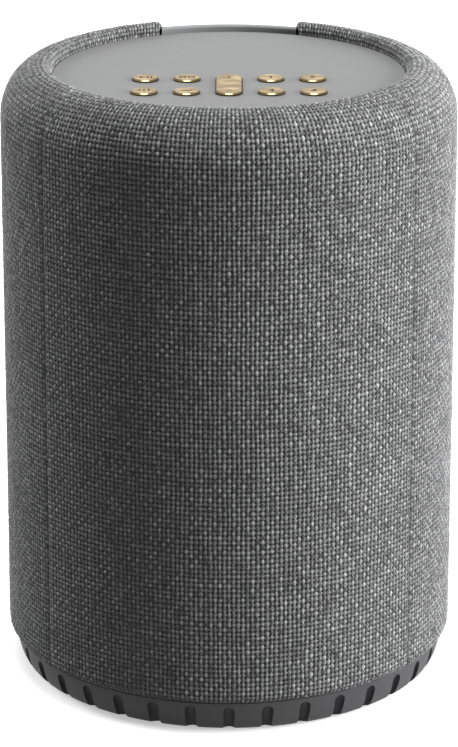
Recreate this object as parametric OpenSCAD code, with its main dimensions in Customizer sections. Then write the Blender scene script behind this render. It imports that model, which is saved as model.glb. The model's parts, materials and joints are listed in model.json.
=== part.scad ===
// Compact wireless speaker in a fabric sleeve: a tall cylinder with a rolled top
// edge, a recessed control panel with brass-coloured keys, a moulded spine up the
// back that carries the sockets, and a notched rubber foot ring.
// The front is -Y and up is +Z. The origin is the middle of the foot's base.
// All lengths are in millimetres.

/* [Body] */
// Outer diameter of the fabric sleeve
body_d = 140; // [139:0.5:146]
// Height from the floor to the crest of the top roll
body_h = 193; // [192:1:205]
// Thickness of the fabric with its padded backing
fabric_t = 2; // [1.6:0.1:2.2]
// Width of the rolled top edge, from the wall to its crest
roll_w = 13; // [12.5:0.5:14]
// Height of the rolled top edge
roll_h = 16; // [15:0.5:18]
// Radius of the curl from the crest down into the dish
curl_r = 2.6; // [2.5:0.1:3.2]
// Depth of the control panel below the crest
dish_depth = 3.4; // [3.2:0.1:4.2]
// Radius of the fabric's lower hem
hem_r = 3; // [2.6:0.1:3.4]

/* [Foot] */
// Height of the rubber foot ring
foot_h = 10; // [9.5:0.5:11]
// Number of notches round the foot ring
foot_notches = 36; // [24:1:38]
// Width of each notch
notch_w = 3.6; // [3:0.1:4]

/* [Rear spine] */
// Width of the spine between the two fabric edges
spine_w = 43; // [43:0.5:46]
// Depth of the spine's face below the fabric beside it
spine_inset = 1.8; // [1.4:0.1:2]
// Height of the middle of the socket bay above the floor
bay_z = 32; // [31:1:36]

/* [Keys] */
// Diameter of the round keys and width of the volume rocker
key_d = 8.1; // [7.8:0.1:8.6]
// Distance between key columns
key_pitch = 12.7; // [12.6:0.1:13.4]
// Distance between the two key rows
key_row_gap = 16.2; // [15.6:0.1:17]
// Distance from the panel's centre forward to the middle of the key block
key_block_y = 17.4; // [16.5:0.1:18.5]
// Height of the keys above the panel
key_proud = 0.8; // [0.7:0.1:1.1]
// How far a round key travels when it is pressed
key_travel = 0.6; // [0.4:0.1:0.7]
// Depth of the icons cut into the keys
icon_depth = 0.25; // [0.1:0.05:0.3]

/* [Drivers] */
// Outer diameter of the woofer's flange
woofer_d = 80; // [76:1:80]
// Outer diameter of the tweeter's faceplate
tweeter_d = 46; // [44:1:46]
// Outer diameter of each passive radiator's frame
passive_d = 76; // [72:1:76]

/* [Hidden] */

$fn = 96;
slack = 0.05; // clearance between pieces that touch
small_fn = 32;

// The sleeve and what it covers
body_r = body_d / 2;
crest_r = body_r - roll_w;
dish_r = crest_r - curl_r;
hem_z = foot_h + 0.3;
frame_skin = fabric_t + slack;
spine_skin = spine_inset;
moulding_t = 2.2;
grille_t = 1.6;
grille_r = body_r - frame_skin;
panel_top = body_h - dish_depth;
panel_t = 2.2;
panel_bottom = panel_top - panel_t;
panel_r = dish_r - 0.1;
ledge_t = 2;
ledge_r = dish_r - 4;
frame_z = body_h - roll_h - 6;
spine_gap = 0.2;

// The foot and base
foot_top_r = body_r - 2;
foot_base_r = body_r - 6.4;
foot_inner_r = body_r - 12;
notch_lean = 26; // the notches follow the slope of the foot's side
tray_recess = 2.5;
tray_floor = 2.5;
tray_top = hem_z + 3.2;
base_screw_r = 44;

// The acoustic cabinet: a round shell with flats for the drivers
cabinet_r = body_r - 7;
cabinet_z = tray_top + slack;
cabinet_top = 175;
cabinet_wall = 3;
front_flat = 48;
side_flat = 47;
rear_face = 38;
gasket_t = 1;
cover_t = 3;
cover_face = rear_face + gasket_t + cover_t;

// The drivers
flange_t = 3;
woofer_z = 82;
woofer_r = woofer_d / 2;
woofer_hole_r = woofer_r - 5;
surround_r = woofer_r - 7;
cone_r = surround_r - 5.6;
coil_r = 10;
coil_neck = 15;
magnet_depth = 24;
tweeter_z = 146;
tweeter_r = tweeter_d / 2;
tweeter_hole_r = tweeter_r - 6;
dome_r = 13;
passive_z = woofer_z;
passive_r = passive_d / 2;
passive_hole_r = passive_r - 4;
passive_cone_r = passive_r - 12;

// The keys and the board under them
key_r = key_d / 2;
rocker_l = key_row_gap + key_d;
rocker_axis = panel_bottom - 1.6;
trunnion_r = 0.9;
icon_line = 0.42;
board_t = 1.6;
board_top = panel_bottom - 5.8;
dome_switch_h = 0.6;
key_rows = [-key_block_y + key_row_gap / 2, -key_block_y - key_row_gap / 2];
key_places = [
    for (column = [-2, -1, 1, 2], row = [0, 1]) [column * key_pitch, key_rows[row]]
];
pillar_places = [[-34, 20], [34, 20], [-20, -36], [20, -36]];
lens_size = [2.7, 0.9];
lens_x = 6.5;
lens_y = -40;

// The electronics bay behind the cabinet
pcb_front = cover_face + 4;
pcb_back = pcb_front + board_t;
bay_size = [38, 22];
bay_floor = body_r - 7;
bay_wall = 2;
inlet_x = -8;
inlet_size = [18.4, 12];
socket_size = [14.6, 8.4];
socket_depth = 12;
pin_gap = 8.6;
jack_x = 12;
jack_hole_r = 1.8;
jack_depth = 14;

screw_r = 1.5;
screw_head_r = 2.8;
screw_head_h = 1.6;

black = "#1c1c1e";
charcoal = "#3f3f41";
light_grey = "#a9aaab";
brass = "#c2a56c";
steel = "#b4b6b8";
board_green = "#1f5a3a";
rubber = "#4c4c4e";
paper = "#2b2b2c";
copper = "#b5713a";

// ---------------------------------------------------------------- profiles

// Points along part of an ellipse, from angle a0 to a1
function arc(centre, radii, a0, a1, steps = 14) = [
    for (i = [0:steps])
        let (a = a0 + (a1 - a0) * i / steps)
        [centre[0] + radii[0] * cos(a), centre[1] + radii[1] * sin(a)]
];

function reversed(points) = [for (i = [len(points) - 1:-1:0]) points[i]];

// The rolled top edge, a given depth below the sleeve's outer surface: from the
// dish's edge over the crest to the top of the wall
function roll(depth) = concat(
    [[dish_r + depth, panel_bottom + slack]],
    arc([crest_r, body_h - curl_r], [curl_r - depth, curl_r - depth], 180, 90),
    arc([crest_r, body_h - roll_h], [roll_w - depth, roll_h - depth], 88, 0)
);

// The lower hem, turned in above the foot
function hem(depth) = arc(
    [body_r - hem_r, hem_z + hem_r], [hem_r - depth, hem_r - depth], 0, -90, 8
);

// The inside of a moulding under the roll, from the wall up to its inner lip
function roll_lining(depth, lip_r) = concat(
    arc([crest_r, body_h - roll_h], [roll_w - depth, roll_h - depth], 0, 72),
    [[lip_r, body_h - depth - 1]]
);

// The shape of the cabinet, seen from above, shrunk by an inset
module cabinet_outline(inset = 0) {
    intersection() {
        circle(r = cabinet_r - inset);
        translate([-side_flat + inset, -front_flat + inset])
            square([2 * (side_flat - inset), front_flat + rear_face - inset]);
    }
}

// A slab behind the axis, as wide as the spine
module spine_slab(extra = 0, base = 0) {
    translate([-spine_w / 2 - extra, 20, base])
        cube([spine_w + 2 * extra, body_d, body_h + 10]);
}

// ---------------------------------------------------------------- placing

module facing_front(y, z) { translate([0, y, z]) rotate([90, 0, 0]) children(); }
module facing_side(side, z) {
    translate([side * side_flat, 0, z]) rotate([0, side * 90, 0]) children();
}
module facing_back(x, y, z) { translate([x, y, z]) rotate([-90, 0, 0]) children(); }
module ring_of(count, radius, start = 0) {
    for (i = [0:count - 1])
        rotate(start + i * 360 / count) translate([radius, 0, 0]) children();
}

// A pan-head screw along +Z, its head's underside at 0
module screw(length, r = screw_r, head_r = screw_head_r, head_h = screw_head_h) {
    difference() {
        cylinder(r1 = head_r, r2 = head_r * 0.8, h = head_h, $fn = small_fn);
        translate([0, 0, head_h - 0.8]) for (turn = [0, 90])
            rotate(turn) cube([2.6, 0.6, 2], center = true);
    }
    translate([0, 0, -length]) cylinder(r = r, h = length + slack, $fn = small_fn);
}

// The hole that a screw's shank sits in
module screw_hole(length, r = screw_r) {
    translate([0, 0, -length - 0.5])
        cylinder(r = r + slack, h = length + 1, $fn = small_fn);
}

// ---------------------------------------------------------------- casing

// Rubber ring that the speaker stands on, grooved all round
module foot_ring() {
    color(charcoal) difference() {
        rotate_extrude() polygon(concat(
            [[foot_inner_r, 0], [foot_base_r - 0.8, 0], [foot_base_r, 0.3]],
            arc([foot_base_r, foot_h + 1.5],
                [foot_top_r - foot_base_r, foot_h + 1.2], -80, -8, 12),
            [[foot_top_r - 0.2, hem_z - slack], [foot_inner_r, hem_z - slack]]
        ));
        for (i = [0:foot_notches - 1]) rotate(-90 + i * 360 / foot_notches) {
            translate([foot_top_r - 0.4, 0, foot_h - 2.9]) rotate([0, notch_lean, 0]) {
                sphere(d = notch_w, $fn = small_fn);
                translate([0, 0, -foot_h])
                    cylinder(d = notch_w, h = foot_h, $fn = small_fn);
            }
            translate([foot_base_r + 0.4, 0, 0]) sphere(d = notch_w, $fn = small_fn);
        }
    }
}

// Moulded tray that closes the bottom and carries the grille
module base_tray() {
    color(black) difference() {
        union() {
            rotate_extrude() polygon([
                [0, tray_recess], [foot_inner_r - slack, tray_recess],
                [foot_inner_r - slack, hem_z + slack], [body_r - 4, hem_z + slack],
                [body_r - 4, hem_z + 1.6], [foot_inner_r - 2, tray_top],
                [foot_inner_r - 4.5, tray_top],
                [foot_inner_r - 4.5, tray_recess + tray_floor],
                [0, tray_recess + tray_floor]
            ]);
            ring_of(4, base_screw_r, 45) translate([0, 0, tray_recess + 1])
                cylinder(r = 4.5, h = tray_top - tray_recess - 1);
        }
        ring_of(4, base_screw_r, 45) {
            translate([0, 0, tray_recess - 1]) cylinder(r = 3.2, h = 2.6, $fn = small_fn);
            translate([0, 0, tray_recess - 1])
                cylinder(r = screw_r + slack, h = tray_top, $fn = small_fn);
        }
        translate([-15, -9, tray_recess - 1]) cube([30, 18, 1.4]);
    }
}

module base_screws() {
    color(steel) ring_of(4, base_screw_r, 45)
        translate([0, 0, tray_recess + 1.6]) rotate([180, 0, 0]) screw(12);
}

// Woven sleeve: down the wall, hemmed above the foot, and over the top into the dish
module fabric_sleeve() {
    color("#6b6c6e") difference() {
        rotate_extrude() polygon(concat(
            roll(0), hem(0), reversed(hem(fabric_t)), reversed(roll(fabric_t))
        ));
        spine_slab(spine_gap);
    }
}

// Slotted tube that holds the sleeve to its round shape
module grille_shell() {
    slots = 12;
    rows = 6;
    slot_h = 17;
    pitch = (frame_z - tray_top - 8) / rows;
    color(black) difference() {
        translate([0, 0, hem_z + fabric_t + slack]) difference() {
            cylinder(r = grille_r, h = frame_z - hem_z - fabric_t - 2 * slack);
            translate([0, 0, -1]) cylinder(r = grille_r - grille_t, h = body_h);
        }
        translate([0, 0, hem_z + fabric_t - 1])
            difference() {
                cylinder(r = body_r, h = 2.2);
                translate([0, 0, -1]) cylinder(r = body_r - 2.95, h = 4);
            }
        for (row = [0:rows - 1], i = [0:slots - 1])
            rotate(i * 180 / slots)
                translate([-body_r, -6, tray_top + 5 + row * pitch])
                    cube([body_d, 12, slot_h]);
        spine_slab(spine_gap + 0.6);
    }
}

// Moulded rim under the rolled edge, with the ledge that the panel sits on
module top_frame() {
    lip_r = crest_r + 1.6;
    color(black) difference() {
        rotate_extrude() polygon(concat(
            roll(frame_skin),
            [[grille_r, frame_z], [grille_r - moulding_t, frame_z]],
            roll_lining(frame_skin + moulding_t, lip_r),
            [[lip_r, panel_bottom - ledge_t], [ledge_r, panel_bottom - ledge_t],
             [ledge_r, panel_bottom - slack], [dish_r, panel_bottom - slack]]
        ));
        difference() {
            spine_slab(spine_gap + 0.6);
            cylinder(r = lip_r, h = panel_bottom - slack);
        }
    }
}

// A length of round-ended bar with a chamfered top, lying along Y
module pill(width, length, height, chamfer) {
    half = (length - width) / 2;
    r = width / 2;
    for (y = [-half, half]) translate([0, y, 0]) rotate_extrude($fn = 48)
        polygon([[0, 0], [r, 0], [r, height - chamfer], [r - chamfer, height], [0, height]]);
    translate([0, half, 0]) rotate([90, 0, 0]) linear_extrude(2 * half) polygon([
        [-r, 0], [r, 0], [r, height - chamfer], [r - chamfer, height],
        [chamfer - r, height], [-r, height - chamfer]
    ]);
}

// Control panel, with a hole for each key, lugs for the rocker and board pillars
module top_panel() {
    color(light_grey) {
        difference() {
            rotate_extrude() polygon([
                [0, panel_bottom], [panel_r, panel_bottom], [panel_r, panel_top - 0.4],
                [panel_r - 0.4, panel_top], [0, panel_top]
            ]);
            for (place = key_places) translate([place[0], place[1], panel_bottom - 1])
                cylinder(r = key_r + 0.15, h = panel_t + 2);
            translate([0, -key_block_y, panel_bottom - 1])
                pill(key_d + 0.3, rocker_l + 0.6, panel_t + 2, 0.1);
            for (side = [-1, 1])
                translate([side * lens_x, lens_y, panel_top])
                    cube([lens_size[0] + 0.1, lens_size[1] + 0.1, 9], center = true);
        }
        for (side = [-1, 1]) rocker_lug(side);
        for (place = pillar_places) translate(place) board_pillar();
    }
}

module rocker_lug(side) {
    translate([side * (key_r + 2.1), -key_block_y, rocker_axis]) rotate([0, 90, 0])
        difference() {
            translate([-0.3, 0, 0]) cube([3.8, 3.4, 1.6], center = true);
            cylinder(r = trunnion_r + slack, h = 4, center = true, $fn = small_fn);
        }
}

module board_pillar() {
    translate([0, 0, board_top + slack]) difference() {
        cylinder(r = 2.6, h = panel_bottom - board_top + 0.1, $fn = small_fn);
        translate([0, 0, -1]) cylinder(r = 1 + slack, h = 5.6, $fn = small_fn);
    }
}

// Spine between the fabric edges, with a bay for the sockets near its foot
module rear_spine() {
    lip_r = crest_r + 2;
    base = hem_z + 0.2;
    wall_r = body_r - spine_skin;
    color(light_grey) {
        difference() {
            intersection() {
                rotate_extrude() polygon(concat(
                    roll(spine_skin),
                    [[wall_r, base + 1], [wall_r - 1, base],
                     [wall_r - moulding_t, base]],
                    roll_lining(spine_skin + moulding_t, lip_r),
                    [[lip_r, panel_bottom + slack]]
                ));
                spine_slab();
            }
            translate([-bay_size[0] / 2, 20, bay_z - bay_size[1] / 2])
                cube([bay_size[0], body_d, bay_size[1]]);
        }
        socket_bay();
    }
}

module socket_bay() {
    outer = [bay_size[0] + 2 * bay_wall, bay_size[1] + 2 * bay_wall];
    intersection() {
        difference() {
            translate([-outer[0] / 2, bay_floor - bay_wall, bay_z - outer[1] / 2])
                cube([outer[0], 20, outer[1]]);
            translate([-bay_size[0] / 2, bay_floor, bay_z - bay_size[1] / 2])
                cube([bay_size[0], 20, bay_size[1]]);
            translate([inlet_x - inlet_size[0] / 2 - slack, 40,
                       bay_z - inlet_size[1] / 2 - slack])
                cube([inlet_size[0] + 2 * slack, 40, inlet_size[1] + 2 * slack]);
            facing_back(jack_x, 40, bay_z)
                cylinder(r = 4 + slack, h = 40, $fn = small_fn);
        }
        cylinder(r = body_r - spine_skin - 0.2, h = body_h);
    }
}

// ---------------------------------------------------------------- cabinet

module driver_holes(oversize = 0) {
    facing_front(0, woofer_z)
        cylinder(r = woofer_hole_r + oversize, h = body_d);
    facing_front(0, tweeter_z)
        cylinder(r = tweeter_hole_r + oversize, h = body_d);
    for (side = [-1, 1]) translate([0, 0, passive_z]) rotate([0, side * 90, 0])
        cylinder(r = passive_hole_r + oversize, h = body_d);
}

module each_driver_screw() {
    facing_front(-front_flat - flange_t, woofer_z)
        ring_of(4, woofer_r - 2.9, 45) children();
    facing_front(-front_flat - flange_t, tweeter_z)
        ring_of(3, tweeter_r - 3.4, 30) children();
    for (side = [-1, 1]) facing_side(side, passive_z)
        translate([0, 0, flange_t]) ring_of(4, passive_r - 2.9, 45) children();
}

module each_cover_screw() {
    for (x = [-38, 38], z = [cabinet_z + 12, 98, cabinet_top - 12])
        facing_back(x, cover_face, z) children();
}

// Acoustic enclosure, open at the back
module cabinet_shell() {
    inner_h = cabinet_top - cabinet_z - 2 * cabinet_wall;
    color(black) difference() {
        translate([0, 0, cabinet_z]) linear_extrude(cabinet_top - cabinet_z)
            cabinet_outline();
        difference() {
            translate([0, 0, cabinet_z + cabinet_wall]) linear_extrude(inner_h)
                cabinet_cavity();
            each_cover_boss();
        }
        driver_holes();
        each_driver_screw() screw_hole(9);
        each_cover_screw() screw_hole(12);
        ring_of(4, base_screw_r, 45) translate([0, 0, cabinet_z - 1])
            cylinder(r = screw_r + slack, h = 8, $fn = small_fn);
    }
}

// The cavity runs out through the back, so the cover closes it
module cabinet_cavity() {
    intersection() {
        circle(r = cabinet_r - cabinet_wall);
        translate([-side_flat + cabinet_wall, -front_flat + cabinet_wall])
            square([2 * (side_flat - cabinet_wall), body_d]);
    }
}

// Corner pillars that the cover's screws bite into
module each_cover_boss() {
    for (x = [-38, 38], z = [cabinet_z + 12, 98, cabinet_top - 12])
        translate([x + sign(x), rear_face - 6, z]) cube([12, 12, 9], center = true);
}

module cabinet_gasket() {
    color(rubber) difference() {
        translate([0, rear_face + gasket_t - slack, cabinet_z]) rotate([90, 0, 0])
            linear_extrude(gasket_t - 2 * slack) cover_outline(1.2);
        translate([0, rear_face + 5, cabinet_z]) rotate([90, 0, 0])
            linear_extrude(10) cover_outline(4.2);
        each_cover_screw() screw_hole(12, screw_r + 0.2);
    }
}

// The back of the cabinet, seen from behind, shrunk by an inset
module cover_outline(inset = 0) {
    translate([-side_flat + inset, inset])
        square([2 * (side_flat - inset), cabinet_top - cabinet_z - 2 * inset]);
}

// Back of the enclosure, with pillars for the boards
module cabinet_cover() {
    color(black) difference() {
        union() {
            translate([0, cover_face, cabinet_z]) rotate([90, 0, 0])
                linear_extrude(cover_t - slack) cover_outline(0.2);
            each_board_corner() translate([0, 0, -slack])
                cylinder(r = 3, h = pcb_front - cover_face, $fn = small_fn);
        }
        each_board_corner() translate([0, 0, -1])
            cylinder(r = 1.1, h = 8, $fn = small_fn);
        each_cover_screw() screw_hole(12);
        facing_back(0, rear_face - 1, 116) cylinder(r = 3.2, h = 10, $fn = small_fn);
    }
}

module each_board_corner() {
    for (x = [-29, 29], z = [22, 60, 74, 146])
        facing_back(x, cover_face, z) children();
}

module cover_screws() { color(steel) each_cover_screw() screw(10); }
module driver_screws() { color(steel) each_driver_screw() screw(8); }

module damping_foam() {
    color("#55565a") translate([-26, rear_face - 12, cabinet_z + 8])
        cube([52, 10, 86]);
}

// ---------------------------------------------------------------- drivers
// Each driver is drawn looking out along +Z, with the cabinet's flat at 0.

module woofer_at() { facing_front(-front_flat, woofer_z) children(); }
module tweeter_at() { facing_front(-front_flat, tweeter_z) children(); }

module flange(outer_r, inner_r, screws, screw_ring, start) {
    difference() {
        cylinder(r = outer_r, h = flange_t);
        translate([0, 0, -1]) cylinder(r = inner_r, h = flange_t + 2);
        ring_of(screws, screw_ring, start) translate([0, 0, flange_t])
            screw_hole(8);
    }
}

module woofer_basket() {
    rim = woofer_hole_r - 0.4;
    seat = magnet_depth - 0.2;
    color(black) woofer_at() {
        flange(woofer_r, surround_r, 4, woofer_r - 2.9, 45);
        difference() {
            rotate_extrude() polygon([
                [rim, 0.1], [rim, -5], [23, -seat], [16, -seat],
                [16, -seat + 2], [21.5, -seat + 2], [rim - 2, -4], [rim - 2, 0.1]
            ]);
            for (i = [0:5]) rotate(i * 60) translate([6, -7, -seat + 3])
                cube([40, 14, seat - 9]);
        }
    }
}

// Ring magnet and back plate with the gap that the coil moves in
module woofer_magnet() {
    depth = magnet_depth;
    color("#3a3a3c") woofer_at() rotate_extrude() polygon([
        [0, -depth - 16], [25, -depth - 16], [27, -depth - 13], [27, -depth - 4],
        [25, -depth - 4], [25, -depth], [coil_r + 1, -depth],
        [coil_r + 1, -depth - 13], [coil_r - 1.2, -depth - 13],
        [coil_r - 1.2, -depth + 1], [0, -depth + 1]
    ]);
}

module woofer_spider() {
    level = -magnet_depth + 2.2 + slack + 0.8;
    color("#8a6b3a") woofer_at() rotate_extrude() polygon(concat(
        [for (i = [0:12]) [coil_r + 0.55 + i * 0.8, level + 0.4 * sin(i * 90)]],
        [for (i = [12:-1:0]) [coil_r + 0.55 + i * 0.8, level - 0.4 + 0.4 * sin(i * 90)]]
    ));
}

// Half-roll edge of rubber between a frame and its moving cone
module surround(outer_r, inner_r, base) {
    mid = (outer_r + inner_r) / 2;
    half = (outer_r - inner_r) / 2 - 0.6;
    rotate_extrude() polygon(concat(
        [[outer_r, base], [outer_r, base + 0.6]],
        arc([mid, base + 0.1], [half, half], 12, 168, 12),
        [[inner_r, base + 0.6], [inner_r, base]],
        arc([mid, base], [half - 0.6, half - 0.6], 168, 12, 12)
    ));
}

module woofer_surround() {
    color(rubber) woofer_at()
        surround(surround_r - slack, cone_r + slack, 0.4);
}

module woofer_cone() {
    color(paper) woofer_at() rotate_extrude() polygon([
        [cone_r, 1], [cone_r, 0.2], [coil_r + 0.6, -coil_neck],
        [coil_r + 0.6, -coil_neck + 1]
    ]);
}

module woofer_dust_cap() {
    rim_r = coil_r + 2.4;
    seat = 1 - coil_neck * (cone_r - rim_r) / (cone_r - coil_r - 0.6) + slack;
    color(paper) woofer_at() rotate_extrude() polygon(concat(
        arc([0, seat], [rim_r, 4.6], 0, 90, 10),
        arc([0, seat], [rim_r - 0.6, 4], 90, 0, 10)
    ));
}

module woofer_voice_coil() {
    color(copper) woofer_at() translate([0, 0, -magnet_depth - 6]) difference() {
        cylinder(r = coil_r + 0.5, h = magnet_depth + 6 - coil_neck + 1);
        translate([0, 0, -1]) cylinder(r = coil_r - 0.1, h = magnet_depth);
    }
}

module tweeter_faceplate() {
    color(black) tweeter_at() difference() {
        rotate_extrude() polygon([
            [dome_r + 1.4, 0], [tweeter_r, 0], [tweeter_r, 2.4],
            [tweeter_r - 0.6, flange_t], [tweeter_r - 5, flange_t],
            [dome_r + 1.4, 1.4]
        ]);
        ring_of(3, tweeter_r - 3.4, 30) translate([0, 0, flange_t]) screw_hole(8);
    }
}

module tweeter_magnet() {
    color("#3a3a3c") tweeter_at() rotate_extrude() polygon([
        [0, -16], [15, -16], [16, -15], [16, -slack], [14.2, -slack],
        [14.2, -1.6], [0, -1.6]
    ]);
}

module tweeter_dome() {
    color("#2f2f31") tweeter_at() rotate_extrude() polygon(concat(
        [[dome_r + 1, -0.4], [dome_r + 1, 0.1]],
        arc([0, -0.4], [dome_r - 1, 4.6], 6, 90, 12),
        arc([0, -0.4], [dome_r - 1.5, 4.1], 90, 0, 12)
    ));
}

module passive_frame(side) {
    color(black) facing_side(side, passive_z) {
        flange(passive_r, passive_hole_r - 2, 4, passive_r - 2.9, 45);
        difference() {
            translate([0, 0, -6]) cylinder(r = passive_hole_r - 0.7, h = 6.1);
            translate([0, 0, -7]) cylinder(r = passive_hole_r - 2, h = 9);
        }
    }
}

module passive_surround(side) {
    color(rubber) facing_side(side, passive_z)
        surround(passive_hole_r - 2 - slack, passive_cone_r + slack, 0);
}

// Flat diaphragm with the steel weight that tunes it
module passive_diaphragm(side) {
    color(paper) facing_side(side, passive_z) rotate_extrude() polygon([
        [0, -6], [11, -6], [11, -1], [passive_cone_r, -0.6],
        [passive_cone_r, 0.6], [14, 0.6], [12, 1.2], [0, 1.2]
    ]);
}

// ---------------------------------------------------------------- keys

// Icons, drawn flat and centred on their key
module strokes(points) {
    for (i = [0:len(points) - 2]) {
        span = points[i + 1] - points[i];
        translate(points[i]) rotate(atan2(span[1], span[0]))
            translate([-icon_line / 2, -icon_line / 2])
                square([norm(span) + icon_line, icon_line]);
    }
}

module icon_play_pause() {
    translate([-1.1, 0]) circle(r = 1, $fn = 3);
    for (x = [0.7, 1.8]) strokes([[x, -0.8], [x, 0.8]]);
}

module icon_source() {
    for (i = [-1:1]) translate([i * 1.4, 0]) strokes([[0, -0.8], [0, 0.2 + 0.6 * i]]);
    for (i = [-1:1]) translate([i * 1.4, 1.1]) circle(r = 0.3, $fn = 24);
}

module icon_group() {
    strokes([[-2.1, -0.7], [-0.5, -0.7], [-0.5, 0.7], [-2.1, 0.7], [-2.1, -0.7]]);
    strokes([[0.5, -0.7], [2.1, -0.7], [2.1, 0.7], [0.5, 0.7], [0.5, -0.7]]);
}

module icon_link() {
    strokes([[-1.8, -0.5], [-0.7, 0.7], [0.4, -0.5], [1.5, 0.7]]);
}

module icon_digit(n) {
    strokes([
        [[-0.45, 0.7], [0.1, 1.1], [0.1, -1.1]],
        [[-0.6, 0.6], [-0.3, 1.05], [0.3, 1.05], [0.6, 0.5], [-0.6, -1.05], [0.65, -1.05]],
        [[-0.55, 1.05], [0.6, 1.05], [0, 0.25], [0.6, -0.3], [0.25, -1.05], [-0.6, -1]],
        [[0.35, -1.1], [0.35, 1.1], [-0.7, -0.45], [0.75, -0.45]]
    ][n - 1]);
}

// Round key: a chamfered cap, the flange that keeps it in and the stem that
// reaches down to its switch
module round_key(place) {
    top = panel_top + key_proud;
    flange_top = panel_bottom - slack;
    stem_end = board_top + dome_switch_h + key_travel + slack;
    color(brass) translate([place[0], place[1], 0]) difference() {
        rotate_extrude($fn = 64) polygon([
            [0, stem_end], [1.5, stem_end], [1.5, flange_top - 0.8],
            [key_r + 0.9, flange_top - 0.8], [key_r + 0.9, flange_top],
            [key_r, flange_top], [key_r, top - 0.35], [key_r - 0.35, top], [0, top]
        ]);
        translate([0, 0, top - icon_depth]) linear_extrude(1) children();
    }
}

module play_key() { round_key(key_places[0]) icon_play_pause(); }
module source_key() { round_key(key_places[1]) icon_source(); }
module group_key() { round_key(key_places[2]) icon_group(); }
module link_key() { round_key(key_places[3]) icon_link(); }
module preset_key(n) { round_key(key_places[[4, 6, 5, 7][n - 1]]) icon_digit(n); }

// Volume rocker, which tilts on two trunnions to reach a switch at each end
module volume_rocker() {
    base = rocker_axis - 1.2;
    height = panel_top + key_proud - base;
    color(brass) translate([0, -key_block_y, 0]) difference() {
        union() {
            translate([0, 0, base]) pill(key_d, rocker_l, height, 0.35);
            translate([0, 0, rocker_axis]) rotate([0, 90, 0])
                cylinder(r = trunnion_r, h = key_d + 5, center = true, $fn = small_fn);
            for (end = [-1, 1])
                translate([0, end * key_row_gap / 2, board_top + dome_switch_h + 0.4])
                    cylinder(r = 1.5, h = base - board_top, $fn = small_fn);
        }
        translate([0, 0, panel_top + key_proud - icon_depth]) linear_extrude(1) {
            for (end = [-1, 1]) translate([0, end * key_row_gap / 2])
                strokes([[-0.8, 0], [0.8, 0]]);
            translate([0, key_row_gap / 2]) strokes([[0, -0.8], [0, 0.8]]);
        }
    }
}

// ---------------------------------------------------------------- electronics

module control_board() {
    color(board_green) difference() {
        translate([0, 0, board_top - board_t]) cylinder(r = 46, h = board_t);
        translate([-20, 36, board_top - 5]) cube([40, 20, 10]);
        for (place = pillar_places) translate([place[0], place[1], board_top - 5])
            cylinder(r = 1.2, h = 10, $fn = small_fn);
    }
}

module control_board_screws() {
    color(steel) for (place = pillar_places)
        translate([place[0], place[1], board_top - board_t])
            rotate([180, 0, 0]) screw(5, 1, 2.2, 1.4);
}

module dome_switches() {
    color(steel) {
        for (place = key_places) dome_switch(place);
        for (y = key_rows) dome_switch([0, y]);
    }
}

module dome_switch(place) {
    translate([place[0], place[1], board_top + slack / 2])
        cylinder(r1 = 3, r2 = 2, h = dome_switch_h - slack / 2, $fn = small_fn);
}

module indicator_lenses() {
    color("white") for (side = [-1, 1])
        translate([side * lens_x, lens_y, (panel_top + board_top + 1) / 2])
            cube([lens_size[0], lens_size[1], panel_top - board_top - 1], center = true);
}

// Flat cable from the control board down to the main board
module ribbon_cable() {
    top = board_top - board_t - slack;
    start = pcb_back + slack;
    color("#c9c9c4") translate([-7, 0, 0]) rotate([90, 0, 90]) linear_extrude(14)
        polygon([
            [30, top], [52.6, top], [54.6, top - 2], [54.6, 138.3], [start, 134.6],
            [start, 135.3], [54, 138.7], [54, top - 2.25], [52.35, top - 0.6],
            [30, top - 0.6]
        ]);
}

module board(z_low, z_high, corners) {
    color(board_green) difference() {
        translate([-34, pcb_front + slack, z_low])
            cube([68, board_t - slack, z_high - z_low]);
        for (x = [-29, 29], z = corners)
            facing_back(x, pcb_front - 1, z) cylinder(r = 1.2, h = 6, $fn = small_fn);
    }
}

module main_board() { board(70, 150, [74, 146]); }
module power_board() { board(18, 64, [22, 60]); }

module heat_sink() {
    color("#8d9094") translate([-14, pcb_back + slack, 86]) {
        cube([28, 3, 36]);
        for (i = [0:6]) translate([i * 4.4, 2.9, 0]) cube([1.6, 8, 36]);
    }
}

module wifi_module() {
    color(steel) translate([17, pcb_back + slack, 88]) cube([14, 2.6, 20]);
}

module antenna_strips() {
    color(copper) for (x = [-30, 20])
        translate([x, cover_face + slack, 156]) cube([10, 1, 14]);
}

// Wound core on the power board
module transformer() {
    color("#d8c35a") translate([-12, pcb_back + slack, 48]) {
        difference() {
            cube([24, 13, 13]);
            translate([2, 3, -1]) cube([20, 7, 15]);
        }
        translate([5, 3.05, 1]) cube([14, 6.9, 11]);
    }
}

module capacitors() {
    color("#2a3350") {
        for (x = [-22, 22]) facing_back(x, pcb_back + slack, 52)
            cylinder(r = 4, h = 9);
        for (x = [-24, -15]) facing_back(x, pcb_back + slack, 79)
            cylinder(r = 3.4, h = 8);
    }
}

// Two-pin mains inlet, its mouth flush with the bay's floor
module mains_inlet() {
    depth = socket_depth + 2;
    color("#111112") translate([inlet_x, bay_floor, bay_z]) rotate([90, 0, 0])
        difference() {
            translate([-inlet_size[0] / 2, -inlet_size[1] / 2, -0.8])
                cube([inlet_size[0], inlet_size[1], depth + 0.8]);
            translate([0, 0, -1]) linear_extrude(socket_depth + 1) socket_outline();
            for (side = [-1, 1]) translate([side * pin_gap / 2, 0, 1])
                cylinder(r = 1.2 + slack, h = depth + 2, $fn = small_fn);
        }
}

module socket_outline() {
    end = (socket_size[0] - socket_size[1]) / 2;
    square([2 * end, socket_size[1]], center = true);
    for (side = [-1, 1]) translate([side * end, 0])
        circle(d = socket_size[1], $fn = small_fn);
}

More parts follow.
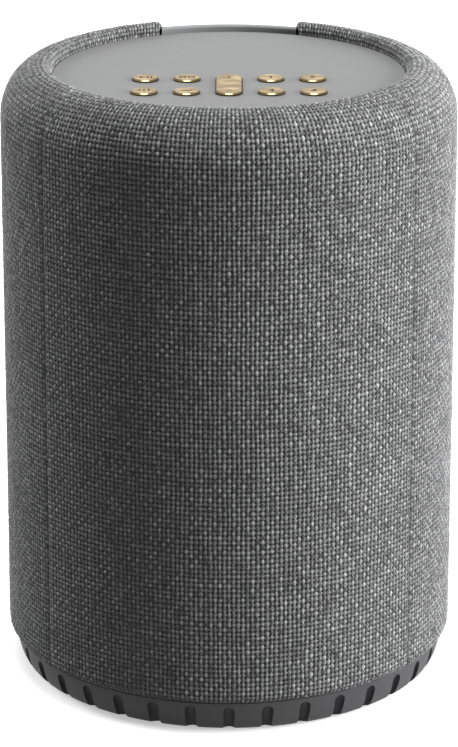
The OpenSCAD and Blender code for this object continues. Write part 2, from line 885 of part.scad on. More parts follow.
module inlet_pins() {
    color(steel) for (side = [-1, 1])
        facing_back(inlet_x + side * pin_gap / 2, pcb_back + slack, bay_z) {
            cylinder(r = 1.2, h = bay_floor - pcb_back - 4, $fn = small_fn);
            translate([0, 0, bay_floor - pcb_back - 4])
                cylinder(r1 = 1.2, r2 = 0.7, h = 0.8, $fn = small_fn);
        }
}

// 3.5 mm socket with a round collar through the bay's floor
module aux_jack() {
    color("#161617") difference() {
        union() {
            translate([jack_x - 4.5, pcb_back + slack, bay_z - 4.5])
                cube([9, bay_floor - bay_wall - pcb_back - 2 * slack, 9]);
            facing_back(jack_x, bay_floor - 4, bay_z)
                cylinder(r = 4, h = 4.6, $fn = 48);
        }
        facing_back(jack_x, bay_floor - jack_depth + 0.6, bay_z)
            cylinder(r = jack_hole_r, h = jack_depth + 1, $fn = small_fn);
    }
}

// Insulated wires from the main board, through the cover, to the two drivers
module speaker_wires() {
    color("#8b1e1e") for (side = [-1, 1]) {
        wire([[side * 1.2, pcb_front - slack, 114.9], [side * 1.2, 34, 114.9],
              [side * 12, 20, 114], [side * 27, -5, 106], [side * 26.6, -34, 97.5]]);
        wire([[side * 1.2, pcb_front - slack, 117.2], [side * 1.2, 34, 117.2],
              [side * 3, 18, 134], [side * 5, -31.6, tweeter_z]]);
    }
}

// A tube swept along a path that never runs straight along X
module wire(path, r = 0.7, sides = 8) {
    last = len(path) - 1;
    rings = [
        for (i = [0:last])
            let (
                along = path[min(i + 1, last)] - path[max(i - 1, 0)],
                side = cross(along, [1, 0, 0]),
                u = side / norm(side),
                v = cross(along, u) / norm(along)
            )
            for (j = [0:sides - 1])
                path[i] + r * (u * cos(j * 360 / sides) + v * sin(j * 360 / sides))
    ];
    walls = [
        for (i = [0:last - 1], j = [0:sides - 1])
            let (a = i * sides + j, b = i * sides + (j + 1) % sides)
            [a, b, b + sides, a + sides]
    ];
    polyhedron(rings, concat(
        walls,
        [[for (j = [sides - 1:-1:0]) j], [for (j = [0:sides - 1]) last * sides + j]]
    ));
}

// ---------------------------------------------------------------- assembly

foot_ring();
base_tray();
base_screws();
fabric_sleeve();
grille_shell();
top_frame();
top_panel();
rear_spine();
cabinet_shell();
cabinet_cover();
cabinet_gasket();
cover_screws();
damping_foam();
woofer_basket();
woofer_magnet();
woofer_spider();
woofer_surround();
woofer_cone();
woofer_dust_cap();
woofer_voice_coil();
tweeter_faceplate();
tweeter_magnet();
tweeter_dome();
passive_frame(-1);  // passive_left_frame
passive_surround(-1);  // passive_left_surround
passive_diaphragm(-1);  // passive_left_diaphragm
passive_frame(1);  // passive_right_frame
passive_surround(1);  // passive_right_surround
passive_diaphragm(1);  // passive_right_diaphragm
driver_screws();
control_board();
control_board_screws();
dome_switches();
indicator_lenses();
ribbon_cable();
main_board();
heat_sink();
wifi_module();
antenna_strips();
power_board();
transformer();
capacitors();
mains_inlet();
inlet_pins();
aux_jack();
speaker_wires();
play_key();
source_key();
group_key();
link_key();
volume_rocker();
preset_key(1);  // preset_1_key
preset_key(2);  // preset_2_key
preset_key(3);  // preset_3_key
preset_key(4);  // preset_4_key
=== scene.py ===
"""Looks of the smart speaker: its woven sleeve, the finish of every CAD part, the light and the camera.

The cloth is worked out in millimetres and written to its meshes in metres. The floor, the lights and the
camera are in metres.
"""

import json
import math

import bpy
import numpy as np
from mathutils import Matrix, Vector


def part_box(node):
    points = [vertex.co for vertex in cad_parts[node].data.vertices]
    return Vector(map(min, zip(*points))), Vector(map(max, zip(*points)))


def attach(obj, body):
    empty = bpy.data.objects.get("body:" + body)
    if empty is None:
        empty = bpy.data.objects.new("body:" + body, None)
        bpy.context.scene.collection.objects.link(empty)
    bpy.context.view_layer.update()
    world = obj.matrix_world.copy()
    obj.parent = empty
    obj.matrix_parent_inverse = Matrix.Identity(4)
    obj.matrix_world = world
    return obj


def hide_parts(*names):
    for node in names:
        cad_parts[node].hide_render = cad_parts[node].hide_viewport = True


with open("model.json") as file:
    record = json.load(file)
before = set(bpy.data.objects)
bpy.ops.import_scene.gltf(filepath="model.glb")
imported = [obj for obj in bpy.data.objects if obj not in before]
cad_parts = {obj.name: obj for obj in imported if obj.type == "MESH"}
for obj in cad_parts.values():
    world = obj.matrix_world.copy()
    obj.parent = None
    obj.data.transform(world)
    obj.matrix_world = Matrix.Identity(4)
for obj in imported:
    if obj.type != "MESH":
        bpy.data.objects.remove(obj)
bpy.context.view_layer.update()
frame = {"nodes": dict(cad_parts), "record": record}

MM = 0.001
rng = np.random.default_rng(7)

# ------------------------------------------------------------------ sizes

# What the frame doesn't give, as the CAD has it: the clearance between pieces, the control plate's thickness
# and the depth of the icons in the keys
SLACK = 0.05
PLATE_T = 2.2
ICON_DEPTH = 0.25

# From the frame
sleeve_low, sleeve_high = (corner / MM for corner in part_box("fabric_sleeve"))
panel_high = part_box("top_panel")[1] / MM
key_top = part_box("play_key")[1].z / MM
BODY_R = sleeve_high.x
BODY_H = sleeve_high.z
HEM_Z = sleeve_low.z
DISH_R = panel_high.x + 2 * SLACK
GAP_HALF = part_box("rear_spine")[1].x / MM + 4 * SLACK
PANEL_BOTTOM = panel_high.z - PLATE_T

# The rolled edge, its curl into the dish and the lower hem, as the CAD sleeve has them
ROLL_H = 16.0
CURL_R = 2.6
HEM_R = 3.0
CREST_R = DISH_R + CURL_R
ROLL_W = BODY_R - CREST_R

# The cloth: its thickness, the distance between yarns, the bearing of its seams from the front, how deep and
# how far to either side they pull it in, and the radius at which its rear edges turn
CLOTH_T = 1.9
WARP_PITCH = 1.41
WEFT_PITCH = 1.53
SEAM_DEG = 52.5
SEAM_DIP = 0.95
SEAM_REACH = 0.6
TURN_R = 2.2

# Relief of one crossing: how far each yarn swings, how thick it stands, and its half width as a share of
# the pitch. CROWN is the height that lies on the CAD sleeve's surface, and GAP_FLOOR the one between yarns.
WARP_SWING, WARP_T, WARP_HALF = 0.24, 0.62, 0.37
WEFT_SWING, WEFT_T, WEFT_HALF = 0.26, 0.60, 0.37
CROWN = 0.66
GAP_FLOOR = -0.15

# Heights, before CROWN is taken off, up to which the cloth is darkest and from which it isn't darkened:
# painted shade on the yarns' flanks and in the gaps between them, where the dark backing also shows
PIT, LIT = 0.28, 0.78

# How yarns stray and swell, each as (wefts, warps, size): how many of either lie from one change to the next,
# and how large a change is, in pitches or as a share of the yarn's thickness
WARP_KINKS, WARP_DRIFT = (5, 1, 0.075), (24, 6, 0.10)
WEFT_KINKS, WEFT_DRIFT = (1, 5, 0.065), (6, 24, 0.10)
WARP_SLUBS, WEFT_SLUBS = (3, 1, 0.13), (1, 3, 0.13)

# Mesh columns and rows to one yarn, and the yarns that one face on the cloth's inner side spans
FINE = 4
INNER_WEFTS, INNER_WARPS = 2, 4

# Fibres of each yarn
WARP_DARK, WARP_LIGHT = (0.030, 0.030, 0.0305), (0.760, 0.762, 0.768)
WEFT_DARK, WEFT_LIGHT = (0.022, 0.022, 0.0225), (0.470, 0.472, 0.477)

# ------------------------------------------------------------------ materials


class Graph:
    """One material's node tree, with a short method for each kind of node."""

    def __init__(self, name, **values):
        self.material = bpy.data.materials.new(name)
        self.material.use_nodes = True
        self.tree = self.material.node_tree
        self.tree.nodes.clear()
        self.shader = self.node("ShaderNodeBsdfPrincipled")
        self.wire(self.node("ShaderNodeOutputMaterial").inputs["Surface"], self.shader.outputs[0])
        for socket, value in values.items():
            self.set(socket.replace("_", " "), value)

    def node(self, kind, **settings):
        made = self.tree.nodes.new(kind)
        for name, value in settings.items():
            setattr(made, name, value)
        return made

    def wire(self, socket, value):
        if isinstance(value, bpy.types.NodeSocket):
            self.tree.links.new(value, socket)
        else:
            socket.default_value = value

    def set(self, socket, value):
        if isinstance(value, tuple) and len(value) == 3:
            value = (*value, 1.0)
        self.wire(self.shader.inputs[socket], value)

    def math(self, operation, *values, clamp=False):
        made = self.node("ShaderNodeMath", operation=operation, use_clamp=clamp)
        for socket, value in zip(made.inputs, values):
            self.wire(socket, value)
        return made.outputs[0]

    def place(self, scale=1.0):
        """The piece's own coordinates in millimetres, times scale."""
        made = self.node("ShaderNodeVectorMath", operation="MULTIPLY")
        self.wire(made.inputs[0], self.node("ShaderNodeTexCoord").outputs["Object"])
        scale = (scale,) * 3 if isinstance(scale, (int, float)) else scale
        made.inputs[1].default_value = [s / MM for s in scale]
        return made.outputs[0]

    def split(self, vector):
        made = self.node("ShaderNodeSeparateXYZ")
        self.wire(made.inputs[0], vector)
        return made.outputs

    def join(self, x=0.0, y=0.0, z=0.0):
        made = self.node("ShaderNodeCombineXYZ")
        for socket, value in zip(made.inputs, (x, y, z)):
            self.wire(socket, value)
        return made.outputs[0]

    def noise(self, vector, scale=1.0, detail=2.0, roughness=0.5):
        made = self.node("ShaderNodeTexNoise")
        self.wire(made.inputs["Vector"], vector)
        made.inputs["Scale"].default_value = scale
        made.inputs["Detail"].default_value = detail
        made.inputs["Roughness"].default_value = roughness
        return made.outputs["Fac"]

    def ramp(self, value, low, high, to_low=0.0, to_high=1.0, smooth=True):
        """value from low..high to to_low..to_high."""
        made = self.node("ShaderNodeMapRange", interpolation_type="SMOOTHSTEP" if smooth else "LINEAR")
        for socket, given in zip(made.inputs, (value, low, high, to_low, to_high)):
            self.wire(socket, given)
        return made.outputs[0]

    def mix(self, share, a, b):
        made = self.node("ShaderNodeMix", data_type="RGBA")
        colours = [(*c, 1.0) if isinstance(c, tuple) and len(c) == 3 else c for c in (a, b)]
        for socket, value in zip((made.inputs[0], made.inputs[6], made.inputs[7]), (share, *colours)):
            self.wire(socket, value)
        return made.outputs[2]

    def bump(self, height, distance, strength=1.0):
        """distance is the height, in millimetres, that 1 stands for."""
        made = self.node("ShaderNodeBump")
        made.inputs["Strength"].default_value = strength
        made.inputs["Distance"].default_value = distance * MM
        self.wire(made.inputs["Height"], height)
        return made.outputs[0]


def shaded(colour, factor):
    return tuple(c * factor for c in colour)


def moulded(name, colour, roughness=0.5, grain=0.35, depth=0.02, uneven=0.06, **values):
    """Moulded plastic or rubber: a fine spark-eroded grain, faint flow marks and uneven gloss."""
    g = Graph(name, **values)
    fine = g.noise(g.place(1 / grain), detail=3.0)
    broad = g.noise(g.place(1 / 14.0), detail=2.0)
    tone = g.mix(broad, shaded(colour, 1 - uneven), shaded(colour, 1 + uneven))
    g.set("Base Color", g.mix(g.ramp(fine, 0.35, 0.7, 0.0, 0.25), tone, shaded(colour, 0.82)))
    g.set("Roughness", g.ramp(fine, 0.3, 0.7, roughness - 0.06, roughness + 0.08))
    g.set("Normal", g.bump(fine, depth))
    return g.material


def brushed(name, colour, roughness=0.3, stretch=(1, 14, 14), depth=0.004, **values):
    """Metal with fine straight marks, smudged here and there."""
    g = Graph(name, Metallic=1.0, **values)
    marks = g.noise(g.place(tuple(s / 1.4 for s in stretch)), detail=3.0)
    smudge = g.noise(g.place(1 / 6.0), detail=2.0)
    g.set("Base Color", g.mix(marks, shaded(colour, 0.82), shaded(colour, 1.1)))
    g.set("Roughness", g.math("ADD", g.ramp(marks, 0.3, 0.7, roughness - 0.08, roughness + 0.08),
                              g.ramp(smudge, 0.4, 0.7, 0.0, 0.1)))
    g.set("Normal", g.bump(marks, depth))
    return g.material


def fibrous(name, colour, fibre=0.5, depth=0.08, **values):
    """Pressed paper, foam or felt: short dark and light fibres all over."""
    g = Graph(name, Roughness=0.9, **values)
    coarse = g.noise(g.place(1 / fibre), detail=5.0, roughness=0.65)
    pore = g.noise(g.place(1 / (2.5 * fibre)), detail=2.0)
    g.set("Base Color", g.mix(g.ramp(coarse, 0.3, 0.7), shaded(colour, 0.6), shaded(colour, 1.5)))
    g.set("Normal", g.bump(g.math("MULTIPLY", coarse, pore), depth))
    return g.material


def brass_key():
    """Brushed brass with a polished chamfer, painted shade darkening its side towards the base, and dark
    paint in its icon.
    """
    g = Graph("key_brass", Metallic=1.0)
    place = g.place()
    z = g.split(place)[2]
    streaks = g.noise(g.place((0.30, 1.9, 1.0)), detail=4.0, roughness=0.6)
    # Painted sheen: lighter stretched bands on the top stand in for the glint of the spun finish
    painted_sheen_bands = g.noise(g.place((0.16, 0.45, 1.0)), detail=1.0)
    top = g.ramp(z, key_top - 0.08, key_top - 0.02)
    tone = g.mix(g.ramp(streaks, 0.32, 0.68), (0.185, 0.115, 0.038), (0.53, 0.375, 0.155))
    tone = g.mix(g.ramp(painted_sheen_bands, 0.45, 0.7), tone, (0.64, 0.49, 0.25))
    # Painted shade: the side turns dark below key_top - 0.40, a dark outline where the key meets the plate
    side = g.mix(g.ramp(z, key_top - 0.55, key_top - 0.40), (0.10, 0.07, 0.03), (0.60, 0.45, 0.22))
    tone = g.mix(top, side, tone)
    icon_z, near = key_top - ICON_DEPTH, 0.05
    level = g.math("GREATER_THAN", g.split(g.node("ShaderNodeNewGeometry").outputs["Normal"])[2], 0.9)
    paint = g.math("MULTIPLY", g.math("LESS_THAN", z, icon_z + near), level)
    paint = g.math("MULTIPLY", paint, g.math("GREATER_THAN", z, icon_z - near))
    g.set("Base Color", g.mix(paint, tone, (0.030, 0.024, 0.018)))
    g.set("Metallic", g.math("SUBTRACT", 1.0, paint))
    g.set("Roughness", g.ramp(top, 0.0, 1.0, 0.22, 0.36))
    g.set("Normal", g.bump(streaks, 0.006, strength=0.6))
    return g.material


def control_plate():
    """Satin painted plate: nearly even, with a fine orange-peel surface and a few faint wipe marks."""
    g = Graph("panel_plastic", Specular_IOR_Level=0.35)
    fine = g.noise(g.place(1 / 0.45), detail=2.0)
    wipe = g.noise(g.place((1 / 60, 1 / 9, 1 / 60)), detail=3.0)
    g.set("Base Color", g.mix(g.ramp(wipe, 0.3, 0.7), (0.240, 0.241, 0.243), (0.252, 0.253, 0.255)))
    g.set("Roughness", g.math("ADD", g.ramp(fine, 0.3, 0.7, 0.48, 0.56), g.ramp(wipe, 0.4, 0.7, 0.0, 0.05)))
    g.set("Normal", g.bump(fine, 0.012))
    return g.material


def circuit_board():
    """Green mask over copper tracks, with pale pads."""
    g = Graph("circuit_board", Roughness=0.35)
    x, y, z = g.split(g.place())
    across = g.math("ABSOLUTE", g.math("SINE", g.math("MULTIPLY", x, 1.7)))
    along = g.math("ABSOLUTE", g.math("SINE", g.math("MULTIPLY", g.math("ADD", y, z), 1.1)))
    patch = g.noise(g.place(1 / 11), detail=0.0)
    tracks = g.mix(g.math("GREATER_THAN", patch, 0.5), g.join(across), g.join(along))
    track = g.ramp(g.split(tracks)[0], 0.86, 0.93)
    speck = g.noise(g.place(1 / 1.2), detail=1.0)
    tone = g.mix(track, (0.010, 0.085, 0.040), (0.022, 0.160, 0.075))
    g.set("Base Color", g.mix(g.ramp(speck, 0.72, 0.74), tone, (0.62, 0.60, 0.52)))
    g.set("Normal", g.bump(track, 0.03))
    return g.material


def spider_cloth():
    """Resin-dipped open cloth."""
    g = Graph("spider_cloth", Roughness=0.7)
    x, _, z = g.split(g.place())
    across, along = (g.math("SINE", g.math("MULTIPLY", run, 7.0)) for run in (x, z))
    weave = g.math("MULTIPLY", across, along)
    g.set("Base Color", g.mix(g.ramp(weave, -0.6, 0.6), (0.22, 0.12, 0.035), (0.50, 0.31, 0.12)))
    g.set("Normal", g.bump(weave, 0.06))
    return g.material


def wound(name, colour):
    """Tape or wire wound round a core, one turn beside the next."""
    g = Graph(name, Roughness=0.4)
    z = g.split(g.place())[2]
    turn = g.math("ABSOLUTE", g.math("SINE", g.math("MULTIPLY", z, 5.0)))
    g.set("Base Color", g.mix(turn, shaded(colour, 0.45), colour))
    g.set("Normal", g.bump(turn, 0.12))
    return g.material


def finishes():
    """{the record's slot: its material}, for the CAD nodes."""
    return {
        "foot_rubber": moulded("foot_rubber", (0.072, 0.072, 0.075), 0.62, grain=0.25, uneven=0.1),
        "panel_plastic": control_plate(),
        "spine_plastic": moulded("spine_plastic", (0.32, 0.322, 0.326), 0.5, grain=0.3),
        "key_brass": brass_key(),
        "black_plastic": moulded("black_plastic", (0.020, 0.020, 0.021), 0.5, grain=0.5),
        "seal_rubber": moulded("seal_rubber", (0.030, 0.030, 0.031), 0.55, grain=0.8, depth=0.01),
        "foam": fibrous("foam", (0.09, 0.09, 0.10), fibre=1.4, depth=0.5),
        "magnet": moulded("magnet", (0.050, 0.050, 0.052), 0.4, grain=0.2, uneven=0.15),
        "spider_cloth": spider_cloth(),
        "cone_pulp": fibrous("cone_pulp", (0.030, 0.030, 0.031)),
        "copper": brushed("copper", (0.78, 0.40, 0.24), 0.25),
        "steel": brushed("steel", (0.62, 0.62, 0.64), 0.3),
        "circuit_board": circuit_board(),
        "lens": moulded("lens", (0.16, 0.16, 0.16), 0.3, grain=0.6, depth=0.005),
        "cable_film": moulded("cable_film", (0.58, 0.58, 0.54), 0.35, grain=1.0, depth=0.01),
        "aluminium": brushed("aluminium", (0.70, 0.71, 0.73), 0.35, stretch=(14, 14, 1)),
        "winding": wound("winding", (0.65, 0.52, 0.14)),
        "capacitor_sleeve": moulded("capacitor_sleeve", (0.03, 0.04, 0.11), 0.3, grain=2.0),
        "socket_plastic": moulded("socket_plastic", (0.015, 0.015, 0.016), 0.35, grain=0.6, depth=0.01),
        "wire_insulation": moulded("wire_insulation", (0.32, 0.025, 0.02), 0.45, grain=1.2),
    }


def woven():
    """Plain weave in yarn coordinates: x counts warps, y counts wefts, and each crossing is one unit square.

    Both yarns are spun from dark and light fibres. relief() shapes the mesh by the same rule, so the yarn
    whose colour shows at a crossing is the one that lies on top there.
    """
    g = Graph("melange_weave", Roughness=0.7, Sheen_Weight=0.2, Sheen_Roughness=0.4, Specular_IOR_Level=0.4)
    u, v, _ = g.split(g.node("ShaderNodeAttribute", attribute_name="weave").outputs["Vector"])
    warp, weft = g.math("FLOOR", u), g.math("FLOOR", v)
    across = g.math("SUBTRACT", g.math("FRACT", u), 0.5)
    along = g.math("SUBTRACT", g.math("FRACT", v), 0.5)
    phase = g.math("COSINE", g.math("MULTIPLY", g.math("ADD", g.math("SUBTRACT", v, 0.5), warp), math.pi))
    cross = g.math("COSINE", g.math("MULTIPLY", g.math("ADD", g.math("SUBTRACT", u, 0.5), weft), math.pi))

    def round_over(offset, half, thick):
        share = g.math("DIVIDE", offset, half)
        left = g.math("SUBTRACT", 1.0, g.math("MULTIPLY", share, share))
        return g.math("MULTIPLY", g.math("SQRT", g.math("MAXIMUM", left, 0.0)), thick)

    warp_z = g.math("ADD", g.math("MULTIPLY", phase, WARP_SWING), round_over(across, WARP_HALF, WARP_T))
    weft_z = g.math("SUBTRACT", round_over(along, WEFT_HALF, WEFT_T), g.math("MULTIPLY", cross, WEFT_SWING))
    weft_on_top = g.math("GREATER_THAN", weft_z, warp_z)
    height = g.math("MAXIMUM", warp_z, weft_z)

    def melange(yarn, run, over, seed):
        """Lightness along a yarn: long and short lengths of mixed fibre, and the fibres themselves."""

        def lengths(per_crossing, apart, detail):
            """Noise drawn out along the yarn, and other on each yarn."""
            along_yarn, own_row = g.math("MULTIPLY", run, per_crossing), g.math("MULTIPLY", yarn, apart)
            return g.noise(g.join(along_yarn, own_row, seed), detail=detail)

        long_run, short_run = lengths(0.15, 7.3, 1.0), lengths(0.7, 5.9, 2.0)
        fibre = g.noise(g.join(g.math("MULTIPLY", run, 2.2), g.math("MULTIPLY", over, 4.5), yarn), detail=3.0)
        long_run = g.ramp(long_run, 0.34, 0.68, 0.0, 0.18)
        short_run = g.ramp(short_run, 0.36, 0.66, 0.0, 0.36)
        fibre = g.ramp(fibre, 0.34, 0.68, 0.0, 0.42)
        return g.math("ADD", g.math("ADD", long_run, short_run), fibre, clamp=True)

    warp_colour = g.mix(melange(warp, v, across, 3.0), WARP_DARK, WARP_LIGHT)
    weft_colour = g.mix(melange(weft, u, along, 8.0), WEFT_DARK, WEFT_LIGHT)
    colour = g.mix(weft_on_top, warp_colour, weft_colour)
    # Painted shade: the colour darkens towards near black as the weave sinks, on the yarns' flanks and in the
    # gaps, where the dark backing also shows through
    painted_shade_and_backing = g.ramp(height, PIT, LIT, 1.0, 0.0, smooth=False)
    g.set("Base Color", g.mix(g.math("MULTIPLY", painted_shade_and_backing, 0.96), colour, (0.006, 0.006, 0.006)))

    def slanted(run, over):
        """A coordinate that leans across the yarn, as its twist does."""
        return g.math("ADD", g.math("MULTIPLY", run, 5.0), g.math("MULTIPLY", over, 7.0))

    warp_twist = g.noise(g.join(g.math("MULTIPLY", u, 9.0), slanted(v, across), warp), detail=2.0)
    weft_twist = g.noise(g.join(slanted(u, along), g.math("MULTIPLY", v, 9.0), weft), detail=2.0)
    twist = g.mix(weft_on_top, g.join(warp_twist), g.join(weft_twist))
    g.set("Normal", g.bump(g.split(twist)[0], 0.12))
    return g.material


# ------------------------------------------------------------------ the cloth

def profile():
    """The sleeve's outline from the hem's inner edge to the foot of the dish: points spaced evenly by length,
    FINE to a weft, the direction that faces out of the cloth at each, and the whole length."""
    arc_step, same_point = 0.05, 1e-4
    pieces = []

    def turn(centre, radii, start, end):
        steps = int(abs(math.radians(end - start)) * max(radii) / arc_step)
        a = np.radians(np.linspace(start, end, steps))
        pieces.append(np.stack([centre[0] + radii[0] * np.cos(a), centre[1] + radii[1] * np.sin(a)], 1))

    turn((BODY_R - HEM_R, HEM_Z + HEM_R), (HEM_R, HEM_R), -90, 0)
    turn((CREST_R, BODY_H - ROLL_H), (ROLL_W, ROLL_H), 0, 90)
    turn((CREST_R, BODY_H - CURL_R), (CURL_R, CURL_R), 90, 180)
    pieces.append(np.array([[DISH_R, PANEL_BOTTOM + SLACK]]))
    line = np.concatenate(pieces)
    line = line[np.concatenate([[True], np.linalg.norm(np.diff(line, axis=0), axis=1) > same_point])]
    length = np.concatenate([[0], np.cumsum(np.linalg.norm(np.diff(line, axis=0), axis=1))])
    wefts = round(length[-1] / WEFT_PITCH)
    at = np.linspace(0, length[-1], wefts * FINE + 1)
    points = np.stack([np.interp(at, length, line[:, k]) for k in range(2)], 1)
    along = np.gradient(points, axis=0)
    along /= np.linalg.norm(along, axis=1)[:, None]
    return points, np.stack([along[:, 1], -along[:, 0]], 1), length[-1]


def wander(shape, stray):
    """Smooth random offsets over a grid, for a stray of (wefts, warps, size)."""
    cell, size = (stray[0] * FINE, stray[1] * FINE), stray[2]
    rows, columns = (int(math.ceil((n - 1) / c)) + 2 for n, c in zip(shape, cell))
    coarse = rng.normal(0, size, (rows, columns))
    r, c = np.arange(shape[0]) / cell[0], np.arange(shape[1]) / cell[1]
    fine = np.stack([np.interp(r, np.arange(rows), coarse[:, k]) for k in range(columns)], 1)
    return np.stack([np.interp(c, np.arange(columns), fine[k]) for k in range(shape[0])], 0)


def relief(u, v, warp_size, weft_size):
    """Height of the cloth over the CAD sleeve's surface at yarn coordinates u, v, by the rule of woven()."""
    warp, weft = np.floor(u), np.floor(v)

    def round_over(offset, half):
        return np.sqrt(np.maximum(1 - (offset / half) ** 2, 0))

    warp_z = WARP_T * round_over(u - warp - 0.5, WARP_HALF) * warp_size
    warp_z = warp_z + WARP_SWING * np.cos(np.pi * (v - 0.5 + warp))
    weft_z = WEFT_T * round_over(v - weft - 0.5, WEFT_HALF) * weft_size
    weft_z = weft_z - WEFT_SWING * np.cos(np.pi * (u - 0.5 + weft))
    return np.maximum(np.maximum(warp_z, weft_z), GAP_FLOOR) - CROWN


def cloth_panel(name, start, end, first_warp, gap_side):
    """One panel of the sleeve between two bearings from the front, in degrees, and its outline's length.
    gap_side is -1 or 1 where the panel ends at the rear gap on that side, with its edge turned in, and 0
    where both its edges are sewn."""
    line, out, length = profile()
    wide = BODY_R * math.radians(end - start)
    warps = round(wide / WARP_PITCH)
    rows, columns = len(line), warps * FINE + 1
    share = np.linspace(0, 1, columns)
    v, u = np.indices((rows, columns)) / FINE

    # Yarns wander a little, but not at the panel's edges, which meet their neighbours
    free_warps, free_wefts = 4, 2
    hold = np.minimum(np.minimum(share, 1 - share) * columns / (free_warps * FINE), 1)[None, :]
    hold = hold * np.minimum(np.minimum(v, v.max() - v) / free_wefts, 1)
    sideways = (wander(u.shape, WARP_KINKS) + wander(u.shape, WARP_DRIFT)) * hold
    lengthways = (wander(u.shape, WEFT_KINKS) + wander(u.shape, WEFT_DRIFT)) * hold

    steps = np.clip(np.arange(rows)[:, None] + lengthways * FINE, 0, rows - 1)

    def strayed(values):
        return np.interp(steps.ravel(), np.arange(rows), values).reshape(steps.shape)

    radius, height, out_r, out_z = (strayed(values) for values in (*line.T, *out.T))

    # The rear edges are straight, so each row reaches as far round as its radius lets it
    rear = np.degrees(np.pi - np.arcsin(GAP_HALF / radius))
    low = np.where(gap_side < 0, -rear, start)
    high = np.where(gap_side > 0, rear, end)
    bearing = np.radians(low + (high - low) * (share[None, :] + sideways / warps))

    lift = relief(u, v, 1 + wander(u.shape, WARP_SLUBS), 1 + wander(u.shape, WEFT_SLUBS))
    for side, from_seam in ((-1, share * wide), (1, (1 - share) * wide)):
        if side != gap_side:
            lift = lift - SEAM_DIP * np.exp(-((from_seam / SEAM_REACH) ** 2))[None, :]
    if gap_side:
        from_edge = (share if gap_side < 0 else 1 - share) * wide
        turned = np.sqrt(TURN_R**2 - np.clip(TURN_R - from_edge, 0, None) ** 2)
        lift = lift - (TURN_R - turned)[None, :]

    def shell(offset):
        r, z = radius + out_r * offset, height + out_z * offset
        return np.stack([r * np.sin(bearing), -r * np.cos(bearing), z], 2) * MM

    piece = join_shells(name, shell(lift), shell(np.full_like(lift, -CLOTH_T)), u + first_warp, v)
    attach(piece, "housing")
    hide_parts("fabric_sleeve")
    return piece, length * MM


def join_shells(name, outer, inner, u, v):
    """A closed mesh: the outer grid, a coarse inner one and a rim between them."""
    rows, columns = outer.shape[:2]
    index = np.arange(rows * columns).reshape(rows, columns)
    quads = np.stack([index[:-1, :-1], index[:-1, 1:], index[1:, 1:], index[1:, :-1]], 2).reshape(-1, 4)

    cut_rows = sorted({*range(0, rows, INNER_WEFTS * FINE), rows - 1})
    cut_columns = sorted({*range(0, columns, INNER_WARPS * FINE), columns - 1})
    used, corners, sizes = {}, [], []

    def inside(r, c):
        """The number of the inner point behind row r and column c."""
        if (r, c) not in used:
            used[r, c] = rows * columns + len(used)
        return used[r, c]

    def run(a, b, at_edge):
        """Rows or columns from a up to b: all of them along the rim, which has every outer point."""
        step = 1 if b > a else -1
        return list(range(a, b, step)) if at_edge else [a]

    for r0, r1 in zip(cut_rows, cut_rows[1:]):
        for c0, c1 in zip(cut_columns, cut_columns[1:]):
            ring = [(r0, c) for c in run(c1, c0, r0 == 0)]
            ring += [(r, c0) for r in run(r0, r1, c0 == 0)]
            ring += [(r1, c) for c in run(c0, c1, r1 == rows - 1)]
            ring += [(r, c1) for r in run(r1, r0, c1 == columns - 1)]
            corners += [inside(r, c) for r, c in ring]
            sizes.append(len(ring))
    border = [(0, c) for c in range(columns - 1)] + [(r, columns - 1) for r in range(rows - 1)]
    border += [(rows - 1, c) for c in range(columns - 1, 0, -1)] + [(r, 0) for r in range(rows - 1, 0, -1)]
    for a, b in zip(border, border[1:] + border[:1]):
        corners += [int(index[b]), int(index[a]), inside(*a), inside(*b)]
        sizes.append(4)

    keys = np.array(list(used))
    points = np.concatenate([outer.reshape(-1, 3), inner[keys[:, 0], keys[:, 1]]])
    loops = np.concatenate([quads.ravel(), np.array(corners)])
    totals = np.concatenate([np.full(len(quads), 4), np.array(sizes)])
    mesh = bpy.data.meshes.new(name)
    mesh.vertices.add(len(points))
    mesh.vertices.foreach_set("co", points.astype(np.float32).ravel())
    mesh.loops.add(len(loops))
    mesh.loops.foreach_set("vertex_index", loops.astype(np.int32))
    mesh.polygons.add(len(totals))
    mesh.polygons.foreach_set("loop_start", (np.cumsum(totals) - totals).astype(np.int32))
    smooth = np.zeros(len(totals), bool)
    smooth[: len(quads)] = True
    mesh.update(calc_edges=True)
    mesh.polygons.foreach_set("use_smooth", smooth)
    weave = np.stack([u, v, np.zeros_like(u)], 2)
    weave = np.concatenate([weave.reshape(-1, 3), weave[keys[:, 0], keys[:, 1]]])
    stored = mesh.attributes.new("weave", "FLOAT_VECTOR", "POINT")
    stored.data.foreach_set("vector", weave.astype(np.float32).ravel())
    mesh.validate()
    piece = bpy.data.objects.new(name, mesh)
    bpy.context.scene.collection.objects.link(piece)
    return piece


# ------------------------------------------------------------------ making

slots = {part["node"]: part["material_slot"] for part in frame["record"]["subparts"]}
materials = finishes()
for name, node in frame["nodes"].items():
    if slots[name] in materials:
        for slot in node.material_slots:
            slot.material = materials[slots[name]]

cloth = woven()
rear_deg = 180 - math.degrees(math.asin(GAP_HALF / BODY_R))
front_warps = round(BODY_R * math.radians(2 * SEAM_DEG) / WARP_PITCH)
side_warps = round(BODY_R * math.radians(rear_deg - SEAM_DEG) / WARP_PITCH)
for name, start, end, first_warp, gap_side in (
    ("sleeve_left", -rear_deg, -SEAM_DEG, 0, -1),
    ("sleeve_front", -SEAM_DEG, SEAM_DEG, side_warps, 0),
    ("sleeve_right", SEAM_DEG, rear_deg, side_warps + front_warps, 1),
):
    piece, length = cloth_panel(name, start, end, first_warp, gap_side)
    piece.data.materials.append(cloth)

# ------------------------------------------------------------------ stage, light and camera


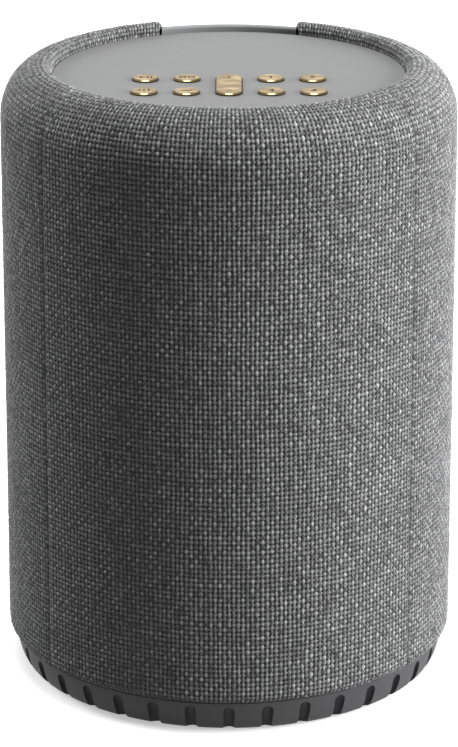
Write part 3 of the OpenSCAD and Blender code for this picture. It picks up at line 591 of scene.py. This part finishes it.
def stage_floor():
    """A pale floor that glows a little, so that it stays light under the soft lamps."""
    mesh = bpy.data.meshes.new("floor")
    half = 3.0
    corners = [(-half, -half, 0), (half, -half, 0), (half, half, 0), (-half, half, 0)]
    mesh.from_pydata(corners, [], [(0, 1, 2, 3)])
    floor = bpy.data.objects.new("floor", mesh)
    bpy.context.scene.collection.objects.link(floor)
    g = Graph("pale_floor", Roughness=0.8, Emission_Color=(1.0, 1.0, 1.0), Emission_Strength=0.45)
    speck = g.noise(g.place(1 / 30.0), detail=3.0)
    g.set("Base Color", g.mix(speck, (0.86, 0.86, 0.86), (0.90, 0.90, 0.90)))
    floor.data.materials.append(g.material)
    floor.visible_diffuse = False  # it throws no light up at the sleeve


def lamp(name, data, place, aim=(0, 0, 0.1), mirrored=True):
    """Hangs a lamp at a place and aims it. Gloss shows the lamp itself only where it is mirrored."""
    holder = bpy.data.objects.new(name, data)
    bpy.context.scene.collection.objects.link(holder)
    holder.location = place
    holder.rotation_euler = (Vector(aim) - Vector(place)).to_track_quat("-Z", "Y").to_euler()
    holder.visible_glossy = mirrored


def soft_light(name, bearing, height, distance, size, power, mirrored):
    """A round soft light, at a bearing in degrees from the front towards the right. One that is mirrored in
    the control plate shows as a white patch to whoever looks from the other side."""
    data = bpy.data.lights.new(name, "AREA")
    data.shape, data.size, data.energy = "DISK", size, power
    turn = math.radians(bearing)
    lamp(name, data, (distance * math.sin(turn), -distance * math.cos(turn), height), mirrored=mirrored)


def overhead_light(strength, spread):
    """Light from above, spread in degrees over the sky."""
    data = bpy.data.lights.new("overhead", "SUN")
    data.energy, data.angle = strength, math.radians(spread)
    lamp("overhead", data, (0, -0.1, 2.0))


def camera_at(place, down, lens, shift):
    """A camera that looks along +Y, tilted down by so many degrees."""
    data = bpy.data.cameras.new("camera")
    data.lens, data.shift_y, data.clip_start = lens, shift, 0.05
    camera = bpy.data.objects.new("camera", data)
    bpy.context.scene.collection.objects.link(camera)
    camera.location = place
    camera.rotation_euler = (math.radians(90 - down), 0, 0)
    bpy.context.scene.camera = camera


def white_surroundings(fill, mirrored):
    """White behind the object, a faint even light from all round, and a pale room for metal to reflect."""
    world = bpy.data.worlds.new("studio")
    bpy.context.scene.world = world
    world.use_nodes = True
    tree = world.node_tree
    ray = tree.nodes.new("ShaderNodeLightPath").outputs
    reflected = tree.nodes.new("ShaderNodeMapRange")
    tree.links.new(ray["Is Glossy Ray"], reflected.inputs["Value"])
    reflected.inputs["To Min"].default_value = fill
    reflected.inputs["To Max"].default_value = mirrored
    level = tree.nodes.new("ShaderNodeMath")
    level.operation = "MAXIMUM"
    tree.links.new(reflected.outputs[0], level.inputs[0])
    tree.links.new(ray["Is Camera Ray"], level.inputs[1])
    tree.links.new(level.outputs[0], tree.nodes["Background"].inputs["Strength"])
    tree.nodes["Background"].inputs["Color"].default_value = (1.0, 1.0, 1.0, 1.0)


stage_floor()
white_surroundings(fill=0.04, mirrored=0.30)
overhead_light(strength=1.9, spread=36)
soft_light("key", bearing=78, height=0.47, distance=1.2, size=0.9, power=30.0, mirrored=False)
soft_light("rim", bearing=-120, height=0.60, distance=1.2, size=0.6, power=13.0, mirrored=False)
soft_light("back", bearing=180, height=0.80, distance=1.6, size=1.2, power=3.5, mirrored=True)

camera_at((0.0, -1.0, 0.438), down=16.6, lens=162.0, shift=-0.195)
bpy.context.scene.view_settings.view_transform = "Standard"
